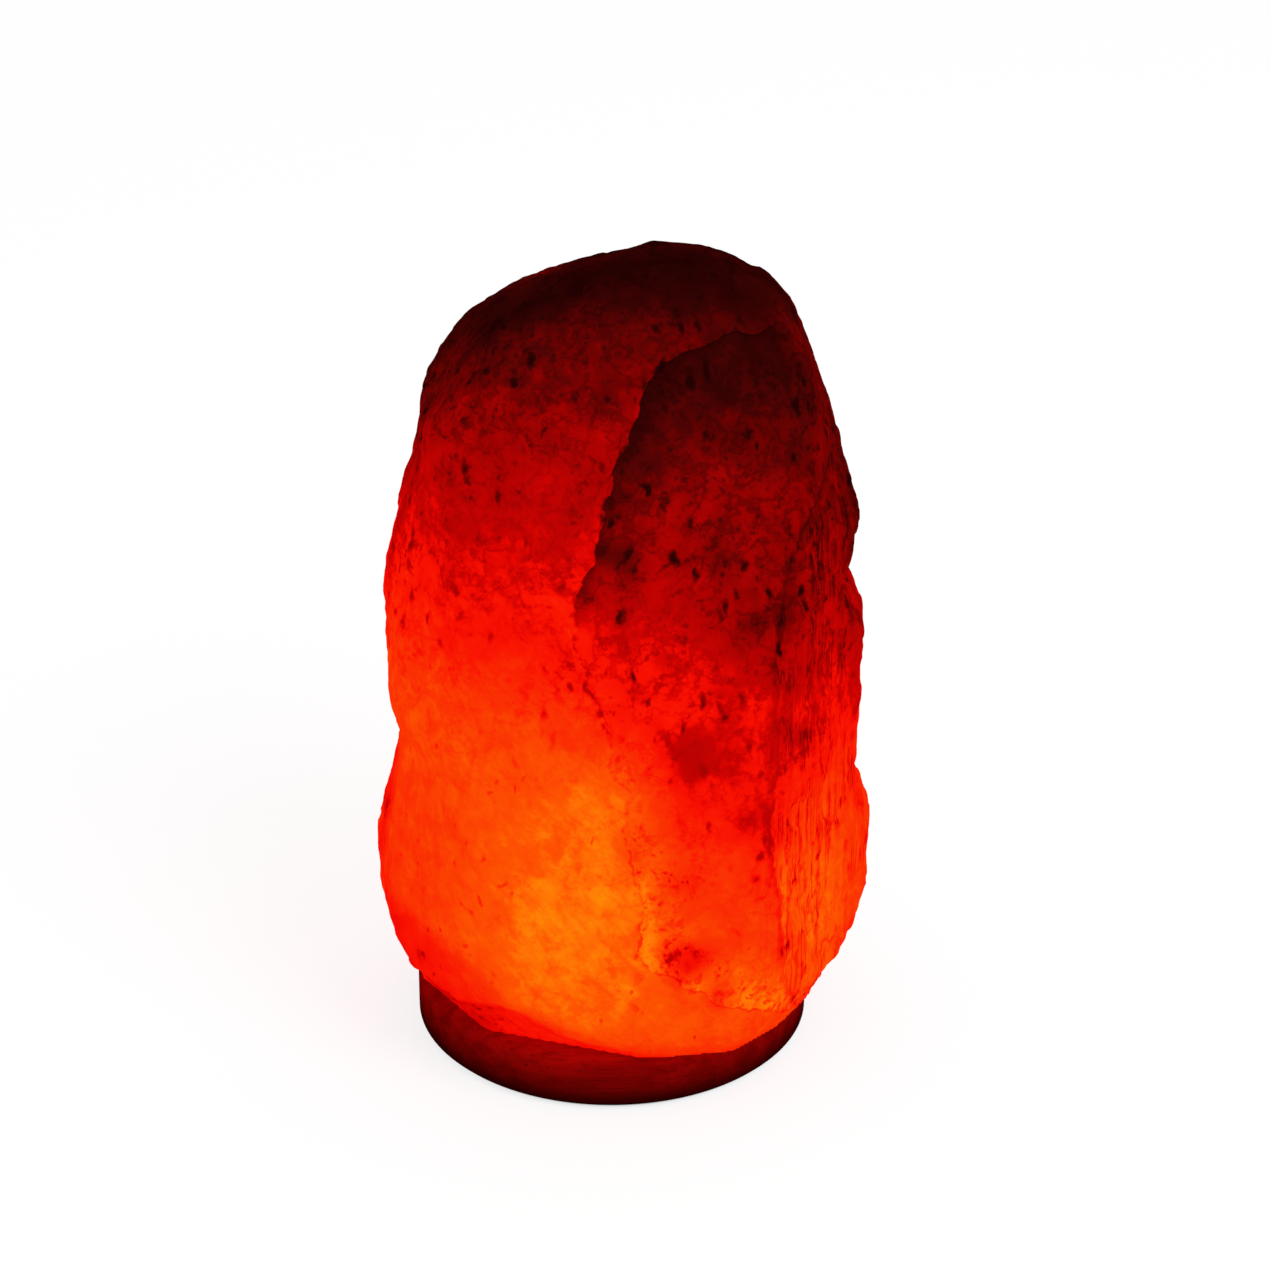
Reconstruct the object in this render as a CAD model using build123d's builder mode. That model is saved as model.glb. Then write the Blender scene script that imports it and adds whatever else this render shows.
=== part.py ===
from build123d import *

import os
from math import copysign, cos, pi, radians, sin, tan

# Salt crystal lamp. A hewn lump of rock salt stands on a round wooden base. Three screws hold the lump
# from below, and a plug-in lamp holder with a small bulb goes up through the base into the lump's bore.
# Origin: on the base's axis, at table level. +Z is up, and -Y is the front. Sizes are millimetres.

os.makedirs("parts", exist_ok=True)

# ---------------------------------------------------------------- driving dimensions

# Wooden base: a turned disc on a felt ring
base_diameter = 120
base_thickness = 17
base_top_round = 5
base_foot_chamfer = 1.2
holder_bore = 44            # the lamp holder passes up through this
recess_diameter = 58        # underside recess that takes the flange plate
recess_depth = 9
groove_width = 8            # underside groove that leads a cord to the back
groove_depth = 8
felt_thickness = 1.2
felt_margin = 4.5           # felt ring, in from the base's rim
felt_width = 11

# Salt lump: how far it reaches from the base's axis each way, and how high it stands on the base
reach_left = 73.3
reach_right = 81.7
reach_front = 65.5
reach_back = 62.5
lump_height = 231
lump_squareness = 2.5       # 2 would be an oval section, more is squarer
facet_columns = 18
chisel_share = 0.045        # how far the chisel took single corners in, as a share of the reach
cavity_bore = 46
cavity_depth = 125
drill_point = 31            # slope of the bore's conical end, in degrees

# Fixing: screws on a circle, and plastic plugs in the salt for them
screw_circle_diameter = 76
screw_count = 3
screw_start = 30            # degrees round from +X to the first screw
screw_diameter = 4
screw_head_diameter = 9
screw_head_height = 2.4
screw_length = 28
screw_tip = 5
screw_recess_width = 0.9
screw_recess_depth = 1.4
screw_hole_clearance = 0.25
head_pocket_diameter = 11
head_pocket_depth = 5
plug_diameter = 8
plug_length = 20
plug_wall_gap = 0.1

# Plug-in lamp holder: flange plate, spring clips, nipple and nut
plate_thickness = 1.2
plate_gap = 1               # round the plate, in its recess
nipple_diameter = 10
nipple_bore = 7.5
nipple_below_nut = 0.8
nipple_in_cap = 5
nut_across_flats = 14
nut_height = 2.8
lock_washer_diameter = 15
lock_washer_thickness = 0.6
lock_washer_teeth = 8
lock_tooth_depth = 2
lock_tooth_gap = 1
thread_gap = 0.1            # between a threaded piece and what it is screwed through
clip_count = 3
clip_width = 9
clip_thickness = 0.6
clip_foot_radius = 16.4     # where the clip's upright starts, from the axis
clip_foot_length = 5
clip_wall_gap = 0.3         # between the clip's belly and the base's bore
clip_belly_height = 6.5
clip_height = 21
clip_tip_in = 0.5           # the tips end this much nearer the axis than the uprights start
clip_bend = 1.2
rivet_diameter = 2.4
rivet_head_diameter = 4
rivet_head_height = 0.9

# Lamp holder: cap, skirt, contact block, shell and contacts
holder_diameter = 28
holder_wall = 1.6
cap_boss_diameter = 17
cap_boss_height = 3.5
cap_shoulder = 4
cap_height = 15
skirt_height = 24
skirt_collar = 2.4          # how far the skirt's top lip turns in
skirt_lip = 2
spigot_length = 4.5
spigot_wall = 1.3
holder_fit = 0.15           # between pieces of the holder that fit together
block_height = 12
block_chamfer = 0.8
block_foot = 9.2            # the block's lower face, above the flange plate
terminal_length = 6
terminal_width = 5
terminal_height = 7
terminal_offset = 6
terminal_sink = 1           # how deep the terminals sit in the block's lower face
terminal_screw_diameter = 2.5
terminal_screw_proud = 0.8
terminal_screw_length = 4.5
grub_screw_diameter = 2.6
grub_slot_width = 0.5
grub_slot_depth = 0.8
shell_inner_diameter = 14.2
shell_wall = 0.5
shell_height = 17
shell_foot = 1.8            # how far the shell's foot turns in on the block
contact_width = 3
contact_thickness = 0.4
contact_rise = 1.5
contact_foot = 4.4          # how far the spring lies along the block, from the axis
contact_bend = 2.3          # where it turns up and back, from the axis
contact_tip = 3.5
contact_bend_radius = 0.45

# Bulb: small screw cap, tubular glass
bulb_diameter = 26
bulb_neck_diameter = 12.2
bulb_glass_height = 43
bulb_glass_wall = 0.8
bulb_neck_height = 1        # of straight neck above the cap
bulb_shoulder_height = 12
bulb_cap_diameter = 13.8
bulb_cap_wall = 0.4
bulb_cap_mouth = 8.6        # hole at the cap's lower end, filled by the insulator
cap_slope = 1.4
bulb_cap_height = 15.5
bulb_cap_lap = 5            # the neck stands this deep in the cap
insulator_height = 2.2
insulator_lip = 0.8
insulator_gap = 0.05
eyelet_radius = 1.2
solder_diameter = 4.4
solder_height = 1
contact_gap = 0.3           # between the solder contact and the centre spring
stem_diameter = 5.6
stem_height = 15
stem_gap = 0.1
flare_height = 4
pinch_height = 5
pinch_width = 7
pinch_thickness = 2.4
lead_diameter = 0.6
lead_spread = 12
lead_height = 9
lead_foot = 2.1             # where a lead leaves the pinch, from the axis
lead_gap = 0.2              # between the leads or support and the filament
filament_diameter = 0.7
filament_rise = 2
support_diameter = 0.4

# ---------------------------------------------------------------- levels worked out from the sizes

base_foot = felt_thickness
base_top = base_foot + base_thickness
plate_top = base_foot + recess_depth
plate_foot = plate_top - plate_thickness
washer_foot = plate_foot - lock_washer_thickness
nut_foot = washer_foot - nut_height
nipple_foot = nut_foot - nipple_below_nut
nipple_top = plate_top + nipple_in_cap
cap_top = plate_top + cap_height
skirt_top = cap_top + skirt_height
block_bottom = plate_top + block_foot
block_top = block_bottom + block_height
shell_top = block_top + shell_height
contact_top = block_top + contact_thickness + contact_rise
solder_foot = contact_top + contact_gap
insulator_foot = solder_foot + solder_height / 2
bulb_cap_foot = insulator_foot + insulator_height
bulb_cap_top = bulb_cap_foot + bulb_cap_height
glass_foot = bulb_cap_top - bulb_cap_lap
glass_top = bulb_cap_top + bulb_glass_height


def level(height):
    """A horizontal sketch plane at this height."""
    return Plane.XY.offset(height)


def finish(piece, name):
    """Labels a piece and writes it to its own file."""
    piece.part.label = name
    export_step(piece.part, f"parts/{name}.step")


# ---------------------------------------------------------------- salt crystal

# The rings of corners that the facets hang between, from the sawn foot to the crown. Each is a height and
# four reaches (left, right, front, back), all as shares of the lump's height and full reaches.
lump_rings = [
    (0.000, 0.82, 0.78, 0.95, 0.93),
    (0.050, 0.89, 0.87, 0.98, 0.97),
    (0.118, 0.99, 0.98, 1.00, 1.00),
    (0.187, 1.00, 0.99, 1.00, 1.00),
    (0.285, 0.92, 0.93, 1.00, 0.99),
    (0.371, 0.87, 0.93, 0.98, 0.97),
    (0.444, 0.94, 0.93, 0.96, 0.97),
    (0.504, 0.93, 0.95, 0.93, 0.96),
    (0.564, 0.92, 0.87, 0.90, 0.95),
    (0.659, 0.87, 0.91, 0.84, 0.90),
    (0.745, 0.79, 0.82, 0.78, 0.85),
    (0.813, 0.78, 0.79, 0.72, 0.78),
    (0.873, 0.71, 0.74, 0.63, 0.70),
    (0.924, 0.50, 0.67, 0.52, 0.60),
    (0.967, 0.17, 0.58, 0.38, 0.46),
    (1.000, 0.09, 0.40, 0.18, 0.30),
]


def lump_corner(ring, column):
    """A corner of the chiselled facets. Every other ring is turned by half a column."""
    height, left, right, front, back = lump_rings[ring]
    column = column % facet_columns
    turn = 2 * pi * (column + ring % 2 / 2) / facet_columns
    chiselled = 1 - chisel_share * (1 + sin(2.4 * column + 1.7 * ring)) / 2
    across = right * reach_right if cos(turn) > 0 else left * reach_left
    along = back * reach_back if sin(turn) > 0 else front * reach_front
    power = 2 / lump_squareness
    x = across * chiselled * copysign(abs(cos(turn)) ** power, cos(turn))
    y = along * chiselled * copysign(abs(sin(turn)) ** power, sin(turn))
    return Vector(x, y, base_top + height * lump_height)


def facet(*corners):
    """A flat face between corners."""
    return Face(Wire.make_polygon(corners, close=True))


lump_facets = []
for ring in range(len(lump_rings) - 1):
    for column in range(facet_columns):
        low, low_next = lump_corner(ring, column), lump_corner(ring, column + 1)
        high, high_next = lump_corner(ring + 1, column), lump_corner(ring + 1, column + 1)
        if ring % 2:
            lump_facets += [facet(low, low_next, high_next), facet(low, high_next, high)]
        else:
            lump_facets += [facet(low, low_next, high), facet(low_next, high_next, high)]
for ring in (0, len(lump_rings) - 1):
    lump_facets.append(facet(*(lump_corner(ring, column) for column in range(facet_columns))))
lump_blank = Solid(Shell(lump_facets))

# Big fracture faces, each split off flat: a point on the face as shares of the reaches and the height, and
# the way it looks out.
fracture_faces = {
    "right_side": ((0.61, -0.80, 0.30), (0.86, -0.50, 0.02)),
    "right_back": ((0.72, 0.68, 0.40), (0.74, 0.66, 0.08)),
    "left_front": ((-0.77, -0.62, 0.30), (-0.72, -0.69, 0.05)),
    "left_back": ((-0.70, 0.66, 0.50), (-0.70, 0.70, 0.12)),
    "left_foot": ((-0.72, -0.55, 0.05), (-0.66, -0.46, -0.60)),
    "front_foot": ((0.00, -0.98, 0.05), (-0.26, -0.79, -0.56)),
    "left_shoulder": ((-0.68, 0.00, 0.835), (-0.78, -0.06, 0.62)),
    "crown_left": ((-0.25, 0.30, 0.945), (-0.34, 0.20, 0.92)),
    "back_shoulder": ((0.10, 0.60, 0.90), (0.10, 0.72, 0.69)),
}

# The scoop that a lost flake left in the upper right front, and a shallower flake scar below it
scoop_place = (0.30, -0.63, 0.74)
scoop_lean = (0.18, -0.94, 0.29)
scoop_half_width = 38
scoop_half_height = 46
scar_place = (0.30, -0.915, 0.27)
scar_lean = (0.12, -0.99, 0.08)
scar_half_width = 24
scar_half_height = 40
flake_clear = 30            # how far outward a flake's cutter reaches


def on_lump(place):
    """A point of the lump, from shares of its reaches and its height."""
    x, y, z = place
    across = reach_right if x > 0 else reach_left
    along = reach_back if y > 0 else reach_front
    return (x * across, y * along, base_top + z * lump_height)


def flake_plane(place, lean):
    """The plane of a lost flake, upright as seen from outside."""
    out = Vector(*lean).normalized()
    return Plane(origin=on_lump(place), x_dir=Vector(0, 0, 1).cross(out), z_dir=out)


with BuildPart() as salt_crystal:
    add(lump_blank)
    for place, outward in fracture_faces.values():
        split(bisect_by=Plane(origin=on_lump(place), z_dir=outward), keep=Keep.BOTTOM)
    # The scoop: steep on the left under the standing mass, running out at the right and below
    with BuildSketch(flake_plane(scoop_place, scoop_lean)):
        with BuildLine():
            Polyline(
                (-0.95 * scoop_half_width, -0.95 * scoop_half_height),
                (0.60 * scoop_half_width, -1.35 * scoop_half_height),
                (2.00 * scoop_half_width, -0.60 * scoop_half_height),
                (1.80 * scoop_half_width, 0.95 * scoop_half_height),
                (0.30 * scoop_half_width, 1.08 * scoop_half_height),
                (-0.35 * scoop_half_width, 0.78 * scoop_half_height),
                (-0.80 * scoop_half_width, 0.05 * scoop_half_height),
                close=True,
            )
        make_face()
    extrude(amount=flake_clear, mode=Mode.SUBTRACT)
    # The flake scar: its left edge follows the step down the middle of the front
    with BuildSketch(flake_plane(scar_place, scar_lean)):
        with BuildLine():
            Polyline(
                (-0.75 * scar_half_width, 0.10 * scar_half_height),
                (-0.55 * scar_half_width, -0.55 * scar_half_height),
                (0.10 * scar_half_width, -0.80 * scar_half_height),
                (0.95 * scar_half_width, -1.00 * scar_half_height),
                (2.20 * scar_half_width, -0.30 * scar_half_height),
                (1.80 * scar_half_width, 1.20 * scar_half_height),
                (-1.50 * scar_half_width, 1.50 * scar_half_height),
                close=True,
            )
        make_face()
    extrude(amount=flake_clear, mode=Mode.SUBTRACT)
    # The drilled bore for the bulb, with the drill's conical end
    with BuildSketch(Plane.XZ):
        with BuildLine():
            drill_shoulder = base_top + cavity_depth - cavity_bore / 2 * tan(radians(drill_point))
            Polyline((0, base_top), (cavity_bore / 2, base_top), (cavity_bore / 2, drill_shoulder),
                     (0, base_top + cavity_depth), close=True)
        make_face()
    revolve(axis=Axis.Z, mode=Mode.SUBTRACT)
    # Blind holes for the plugs
    with BuildSketch(level(base_top)):
        with PolarLocations(screw_circle_diameter / 2, screw_count, start_angle=screw_start):
            Circle(plug_diameter / 2 + plug_wall_gap)
    extrude(amount=plug_length, mode=Mode.SUBTRACT)
finish(salt_crystal, "salt_crystal")

# ---------------------------------------------------------------- wooden base

with BuildPart() as wooden_base:
    with BuildSketch(level(base_foot)):
        Circle(base_diameter / 2)
        Circle(holder_bore / 2, mode=Mode.SUBTRACT)
    extrude(amount=base_thickness)
    rims = wooden_base.edges().filter_by(GeomType.CIRCLE).group_by(SortBy.RADIUS)[-1]
    fillet(rims.sort_by(Axis.Z)[-1], base_top_round)
    rims = wooden_base.edges().filter_by(GeomType.CIRCLE).group_by(Axis.Z)[0]
    chamfer(rims.sort_by(SortBy.RADIUS)[-1], base_foot_chamfer)
    with BuildSketch(level(base_foot)):
        Circle(recess_diameter / 2)
    extrude(amount=recess_depth, mode=Mode.SUBTRACT)
    with BuildSketch(level(base_foot)):
        with Locations((0, base_diameter / 2)):
            Rectangle(groove_width, base_diameter, align=(Align.CENTER, Align.MAX))
        Rectangle(base_diameter, base_diameter, align=(Align.CENTER, Align.MAX), mode=Mode.SUBTRACT)
    extrude(amount=groove_depth, mode=Mode.SUBTRACT)
    with BuildSketch(level(base_foot)):
        with PolarLocations(screw_circle_diameter / 2, screw_count, start_angle=screw_start):
            Circle(head_pocket_diameter / 2)
    extrude(amount=head_pocket_depth, mode=Mode.SUBTRACT)
    with BuildSketch(level(base_foot)):
        with PolarLocations(screw_circle_diameter / 2, screw_count, start_angle=screw_start):
            Circle(screw_diameter / 2 + screw_hole_clearance)
    extrude(amount=base_thickness, mode=Mode.SUBTRACT)
finish(wooden_base, "wooden_base")

with BuildPart() as felt_ring:
    with BuildSketch():
        Circle(base_diameter / 2 - felt_margin)
        Circle(base_diameter / 2 - felt_margin - felt_width, mode=Mode.SUBTRACT)
        with Locations((0, base_diameter / 2)):
            Rectangle(groove_width, base_diameter / 2, mode=Mode.SUBTRACT)
    extrude(amount=felt_thickness)
finish(felt_ring, "felt_ring")

# ---------------------------------------------------------------- screws and plugs

pocket_top = base_foot + head_pocket_depth
screw_spots = PolarLocations(screw_circle_diameter / 2, screw_count, start_angle=screw_start).locations

with BuildPart() as screw_blank:
    with BuildSketch(Plane.XZ):
        with BuildLine():
            head, shank = screw_head_diameter / 2, screw_diameter / 2
            head_foot, point = pocket_top - screw_head_height, pocket_top + screw_length
            Polyline((0, head_foot), (head, head_foot), (head, pocket_top), (shank, pocket_top),
                     (shank, point - screw_tip), (0, point), close=True)
        make_face()
    revolve(axis=Axis.Z)
    # Cross recess
    with BuildSketch(level(head_foot)):
        Rectangle(head, screw_recess_width)
        Rectangle(screw_recess_width, head)
    extrude(amount=screw_recess_depth, mode=Mode.SUBTRACT)

with BuildPart() as base_screws:
    with Locations(*screw_spots):
        add(screw_blank.part)
finish(base_screws, "base_screws")

with BuildPart() as salt_plugs:
    with BuildSketch(level(base_top)):
        with Locations(*screw_spots):
            Circle(plug_diameter / 2)
            Circle(screw_diameter / 2 + thread_gap, mode=Mode.SUBTRACT)
    extrude(amount=plug_length - plug_wall_gap)
finish(salt_plugs, "salt_plugs")

# ---------------------------------------------------------------- clip plate of the plug-in holder

plate_diameter = recess_diameter - 2 * plate_gap
rivet_radius = clip_foot_radius - clip_foot_length / 2

with BuildPart() as flange_plate:
    with BuildSketch(level(plate_foot)):
        Circle(plate_diameter / 2)
        Circle(nipple_diameter / 2 + thread_gap, mode=Mode.SUBTRACT)
        with PolarLocations(rivet_radius, clip_count, start_angle=90):
            Circle(rivet_diameter / 2 + thread_gap, mode=Mode.SUBTRACT)
    extrude(amount=plate_thickness)
finish(flange_plate, "flange_plate")

# A spring clip is one bent strip: a foot on the plate, an upright that bellies out to the base's bore,
# and a tip drawn in again so that it finds its way in.
clip_belly = holder_bore / 2 - clip_wall_gap
clip_tip = clip_foot_radius - clip_tip_in
with BuildPart() as clip_strip:
    with BuildSketch(Plane.XZ):
        with BuildLine():
            foot_line = plate_top + clip_thickness / 2
            belly_line = clip_belly - clip_thickness / 2
            FilletPolyline(
                (clip_foot_radius - clip_foot_length, foot_line),
                (clip_foot_radius, foot_line),
                (belly_line, plate_top + clip_belly_height),
                (clip_tip, plate_top + clip_height),
                radius=clip_bend,
            )
        trace(line_width=clip_thickness)
    extrude(amount=clip_width / 2, both=True)
    with BuildSketch(level(plate_top)):
        with Locations((rivet_radius, 0)):
            Circle(rivet_diameter / 2 + thread_gap)
    extrude(amount=clip_thickness * 2, mode=Mode.SUBTRACT)

for number, turn in enumerate(range(0, 360, 360 // clip_count), start=1):
    with BuildPart() as spring_clip:
        add(clip_strip.part, rotation=(0, 0, 90 + turn))
    finish(spring_clip, f"spring_clip_{number}")

# The rivets are peened flush below the plate
with BuildPart() as clip_rivets:
    with BuildSketch(level(plate_foot)):
        with PolarLocations(rivet_radius, clip_count, start_angle=90):
            Circle(rivet_diameter / 2)
    extrude(amount=plate_thickness + clip_thickness)
    with BuildSketch(level(plate_top + clip_thickness)):
        with PolarLocations(rivet_radius, clip_count, start_angle=90):
            Circle(rivet_head_diameter / 2)
    extrude(amount=rivet_head_height)
finish(clip_rivets, "clip_rivets")

with BuildPart() as threaded_nipple:
    with BuildSketch(level(nipple_foot)):
        Circle(nipple_diameter / 2)
        Circle(nipple_bore / 2, mode=Mode.SUBTRACT)
    extrude(amount=nipple_top - nipple_foot)
finish(threaded_nipple, "threaded_nipple")

with BuildPart() as nipple_nut:
    with BuildSketch(level(nut_foot)):
        RegularPolygon(nut_across_flats / 2, 6, major_radius=False)
        Circle(nipple_diameter / 2 + thread_gap, mode=Mode.SUBTRACT)
    extrude(amount=nut_height)
finish(nipple_nut, "nipple_nut")

with BuildPart() as lock_washer:
    with BuildSketch(level(washer_foot)):
        Circle(lock_washer_diameter / 2)
        Circle(nipple_diameter / 2 + thread_gap, mode=Mode.SUBTRACT)
        with PolarLocations(lock_washer_diameter / 2, lock_washer_teeth):
            Rectangle(lock_tooth_depth, lock_tooth_gap, mode=Mode.SUBTRACT)
    extrude(amount=lock_washer_thickness)
finish(lock_washer, "lock_washer")

# ---------------------------------------------------------------- lamp holder

outer = holder_diameter / 2
inner = outer - holder_wall
spigot_outer = inner - holder_fit
spigot_inner = spigot_outer - spigot_wall
block_radius = spigot_inner - holder_fit

with BuildPart() as holder_cap:
    with BuildSketch(Plane.XZ):
        with BuildLine():
            shoulder_foot = plate_top + cap_boss_height
            shoulder_top = shoulder_foot + cap_shoulder
            bore = nipple_diameter / 2 + thread_gap
            seat = nipple_top + holder_fit
            Polyline((bore, plate_top), (cap_boss_diameter / 2, plate_top),
                     (cap_boss_diameter / 2, shoulder_foot), (outer, shoulder_top), (outer, cap_top),
                     (inner, cap_top), (inner, shoulder_top + holder_wall / 2), (bore, seat), close=True)
        make_face()
    revolve(axis=Axis.Z)
    # Side hole in the boss for the grub screw
    with BuildSketch(Plane.YZ):
        with Locations((0, plate_top + cap_boss_height / 2)):
            Circle(grub_screw_diameter / 2 + thread_gap)
    extrude(amount=cap_boss_diameter, mode=Mode.SUBTRACT)
finish(holder_cap, "holder_cap")

with BuildPart() as cap_grub_screw:
    with BuildSketch(Plane.YZ.offset(nipple_diameter / 2 + thread_gap)):
        with Locations((0, plate_top + cap_boss_height / 2)):
            Circle(grub_screw_diameter / 2)
    extrude(amount=(cap_boss_diameter - nipple_diameter) / 2 - 2 * thread_gap)
    with BuildSketch(Plane.YZ.offset(cap_boss_diameter / 2 - thread_gap)):
        with Locations((0, plate_top + cap_boss_height / 2)):
            Rectangle(grub_screw_diameter, grub_slot_width)
    extrude(amount=-grub_slot_depth, mode=Mode.SUBTRACT)
finish(cap_grub_screw, "cap_grub_screw")

with BuildPart() as holder_skirt:
    with BuildSketch(Plane.XZ):
        with BuildLine():
            Polyline((spigot_inner, cap_top - spigot_length), (spigot_outer, cap_top - spigot_length),
                     (spigot_outer, cap_top + holder_fit), (outer, cap_top + holder_fit),
                     (outer, skirt_top - skirt_lip), (outer - skirt_lip, skirt_top),
                     (inner - skirt_collar, skirt_top), (inner, skirt_top - skirt_collar),
                     (inner, cap_top + holder_wall), (spigot_inner, cap_top), close=True)
        make_face()
    revolve(axis=Axis.Z)
finish(holder_skirt, "holder_skirt")

terminal_spots = [(-terminal_offset, 0), (terminal_offset, 0)]
terminal_foot = block_bottom + terminal_sink

with BuildPart() as contact_block:
    with BuildSketch(level(block_bottom)):
        Circle(block_radius)
    extrude(amount=block_height)
    chamfer(contact_block.edges().group_by(Axis.Z)[0], block_chamfer)
    # Pockets that hold the terminals, open downwards
    with BuildSketch(level(block_bottom)):
        with Locations(*terminal_spots):
            Rectangle(terminal_length + 2 * holder_fit, terminal_width + 2 * holder_fit)
    extrude(amount=terminal_sink + terminal_height, mode=Mode.SUBTRACT)
finish(contact_block, "contact_block")

for name, spot in zip(("terminal_block_live", "terminal_block_neutral"), terminal_spots):
    with BuildPart() as terminal_block:
        with BuildSketch(level(terminal_foot)):
            with Locations(spot):
                Rectangle(terminal_length, terminal_width)
                Circle(terminal_screw_diameter / 2 + thread_gap, mode=Mode.SUBTRACT)
        extrude(amount=terminal_height)
    finish(terminal_block, name)

# Headless screws, sunk a little way into the terminals
with BuildPart() as terminal_screws:
    with BuildSketch(level(terminal_foot - terminal_screw_proud)):
        with Locations(*terminal_spots):
            Circle(terminal_screw_diameter / 2)
    extrude(amount=terminal_screw_length)
finish(terminal_screws, "terminal_screws")

shell_radius = shell_inner_diameter / 2
with BuildPart() as screw_shell:
    with BuildSketch(Plane.XZ):
        with BuildLine():
            Polyline((shell_radius - shell_foot, block_top), (shell_radius + shell_wall, block_top),
                     (shell_radius + shell_wall, shell_top), (shell_radius, shell_top),
                     (shell_radius, block_top + shell_wall),
                     (shell_radius - shell_foot, block_top + shell_wall), close=True)
        make_face()
    revolve(axis=Axis.Z)
finish(screw_shell, "screw_shell")

with BuildPart() as centre_contact:
    with BuildSketch(Plane.XZ):
        with BuildLine():
            strip = block_top + contact_thickness / 2
            FilletPolyline((contact_foot, strip), (-contact_bend, strip),
                           (-contact_tip, strip + contact_rise),
                           (contact_bend, strip + contact_rise), radius=contact_bend_radius)
        trace(line_width=contact_thickness)
    extrude(amount=contact_width / 2, both=True)
finish(centre_contact, "centre_contact")

# ---------------------------------------------------------------- bulb

cap_outer = bulb_cap_diameter / 2
cap_inner = cap_outer - bulb_cap_wall
glass_radius = bulb_diameter / 2
neck_radius = bulb_neck_diameter / 2
cap_mouth = bulb_cap_mouth / 2

with BuildPart() as bulb_cap:
    with BuildSketch(Plane.XZ):
        with BuildLine():
            slope_top = bulb_cap_foot + cap_slope
            Polyline((cap_mouth, bulb_cap_foot), (cap_outer, slope_top), (cap_outer, bulb_cap_top),
                     (cap_inner, bulb_cap_top), (cap_inner, slope_top),
                     (cap_mouth, bulb_cap_foot + bulb_cap_wall), close=True)
        make_face()
    revolve(axis=Axis.Z)
finish(bulb_cap, "bulb_cap")

with BuildPart() as cap_insulator:
    with BuildSketch(Plane.XZ):
        with BuildLine():
            rim = cap_mouth - insulator_gap
            Polyline((eyelet_radius, insulator_foot),
                     (solder_diameter / 2 + insulator_lip, insulator_foot), (rim, bulb_cap_foot),
                     (rim, bulb_cap_foot + insulator_lip),
                     (eyelet_radius, bulb_cap_foot + insulator_lip), close=True)
        make_face()
    revolve(axis=Axis.Z)
finish(cap_insulator, "cap_insulator")

with BuildPart() as cap_contact:
    with BuildSketch(Plane.XZ):
        with BuildLine():
            stub = eyelet_radius - insulator_gap
            stub_top = insulator_foot + insulator_height / 2
            Polyline((0, solder_foot), (solder_diameter / 4, solder_foot),
                     (solder_diameter / 2, insulator_foot), (stub, insulator_foot),
                     (stub, stub_top), (0, stub_top), close=True)
        make_face()
    revolve(axis=Axis.Z)
finish(cap_contact, "cap_contact")

# The glass: a straight neck, a swelling shoulder, a tube and a round end, blown to an even wall
with BuildPart() as bulb_glass:
    with BuildSketch(Plane.XZ):
        with BuildLine():
            dome_start = glass_top - glass_radius
            shoulder_start = bulb_cap_top + bulb_neck_height
            shoulder_end = shoulder_start + bulb_shoulder_height
            Line((0, glass_foot), (neck_radius, glass_foot))
            Line((neck_radius, glass_foot), (neck_radius, shoulder_start))
            Line((neck_radius, shoulder_start), (glass_radius, shoulder_end))
            Line((glass_radius, shoulder_end), (glass_radius, dome_start))
            CenterArc((0, dome_start), glass_radius, 0, 90)
            Line((0, glass_top), (0, glass_foot))
        make_face()
    revolve(axis=Axis.Z)
    offset(amount=-bulb_glass_wall, openings=bulb_glass.faces().sort_by(Axis.Z)[0])
finish(bulb_glass, "bulb_glass")

# The stem: a flare that closes the neck, and a tube pinched flat round the leads
pinch_top = glass_foot + stem_height
pinch_foot = pinch_top - pinch_height
flare_radius = neck_radius - bulb_glass_wall - stem_gap
with BuildPart() as glass_stem:
    with BuildSketch(Plane.XZ):
        with BuildLine():
            Polyline((0, glass_foot), (flare_radius, glass_foot),
                     (stem_diameter / 2, glass_foot + flare_height),
                     (stem_diameter / 2, pinch_foot), (0, pinch_foot), close=True)
        make_face()
    revolve(axis=Axis.Z)
    with BuildSketch(level(pinch_foot)):
        Rectangle(pinch_width, pinch_thickness)
    extrude(amount=pinch_height)
finish(glass_stem, "glass_stem")

# Two leads spread from the pinch, and the filament hangs between their tips in a flat arch
lead_tip = (lead_spread / 2, pinch_top + lead_height)
with BuildPart() as lead_wires:
    for side in (-1, 1):
        with BuildLine() as lead_line:
            Line((side * lead_foot, 0, pinch_top), (side * lead_tip[0], 0, lead_tip[1]))
        with BuildSketch(Plane(origin=lead_line.line @ 0, z_dir=lead_line.line % 0)):
            Circle(lead_diameter / 2)
        sweep(path=lead_line.line)
    # Each wire is cut off level with the top of the pinch
    split(bisect_by=level(pinch_top), keep=Keep.TOP)
finish(lead_wires, "lead_wires")

filament_end = lead_tip[0] - lead_diameter / 2 - lead_gap
filament_top = lead_tip[1] + filament_rise
with BuildPart() as filament:
    with BuildLine() as filament_line:
        Polyline((-filament_end, 0, lead_tip[1]), (-filament_end / 2, 0, filament_top),
                 (filament_end / 2, 0, filament_top), (filament_end, 0, lead_tip[1]))
    with BuildSketch(Plane(origin=filament_line.line @ 0, z_dir=filament_line.line % 0)):
        Circle(filament_diameter / 2)
    sweep(path=filament_line.line, transition=Transition.RIGHT)
finish(filament, "filament")

support_top = filament_top - filament_diameter / 2 - lead_gap
with BuildPart() as filament_support:
    with BuildSketch(level(pinch_top)):
        Circle(support_diameter / 2)
    extrude(amount=support_top - pinch_top)
finish(filament_support, "filament_support")
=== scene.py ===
from math import radians

import bpy
import numpy as np
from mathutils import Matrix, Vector, noise


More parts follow.
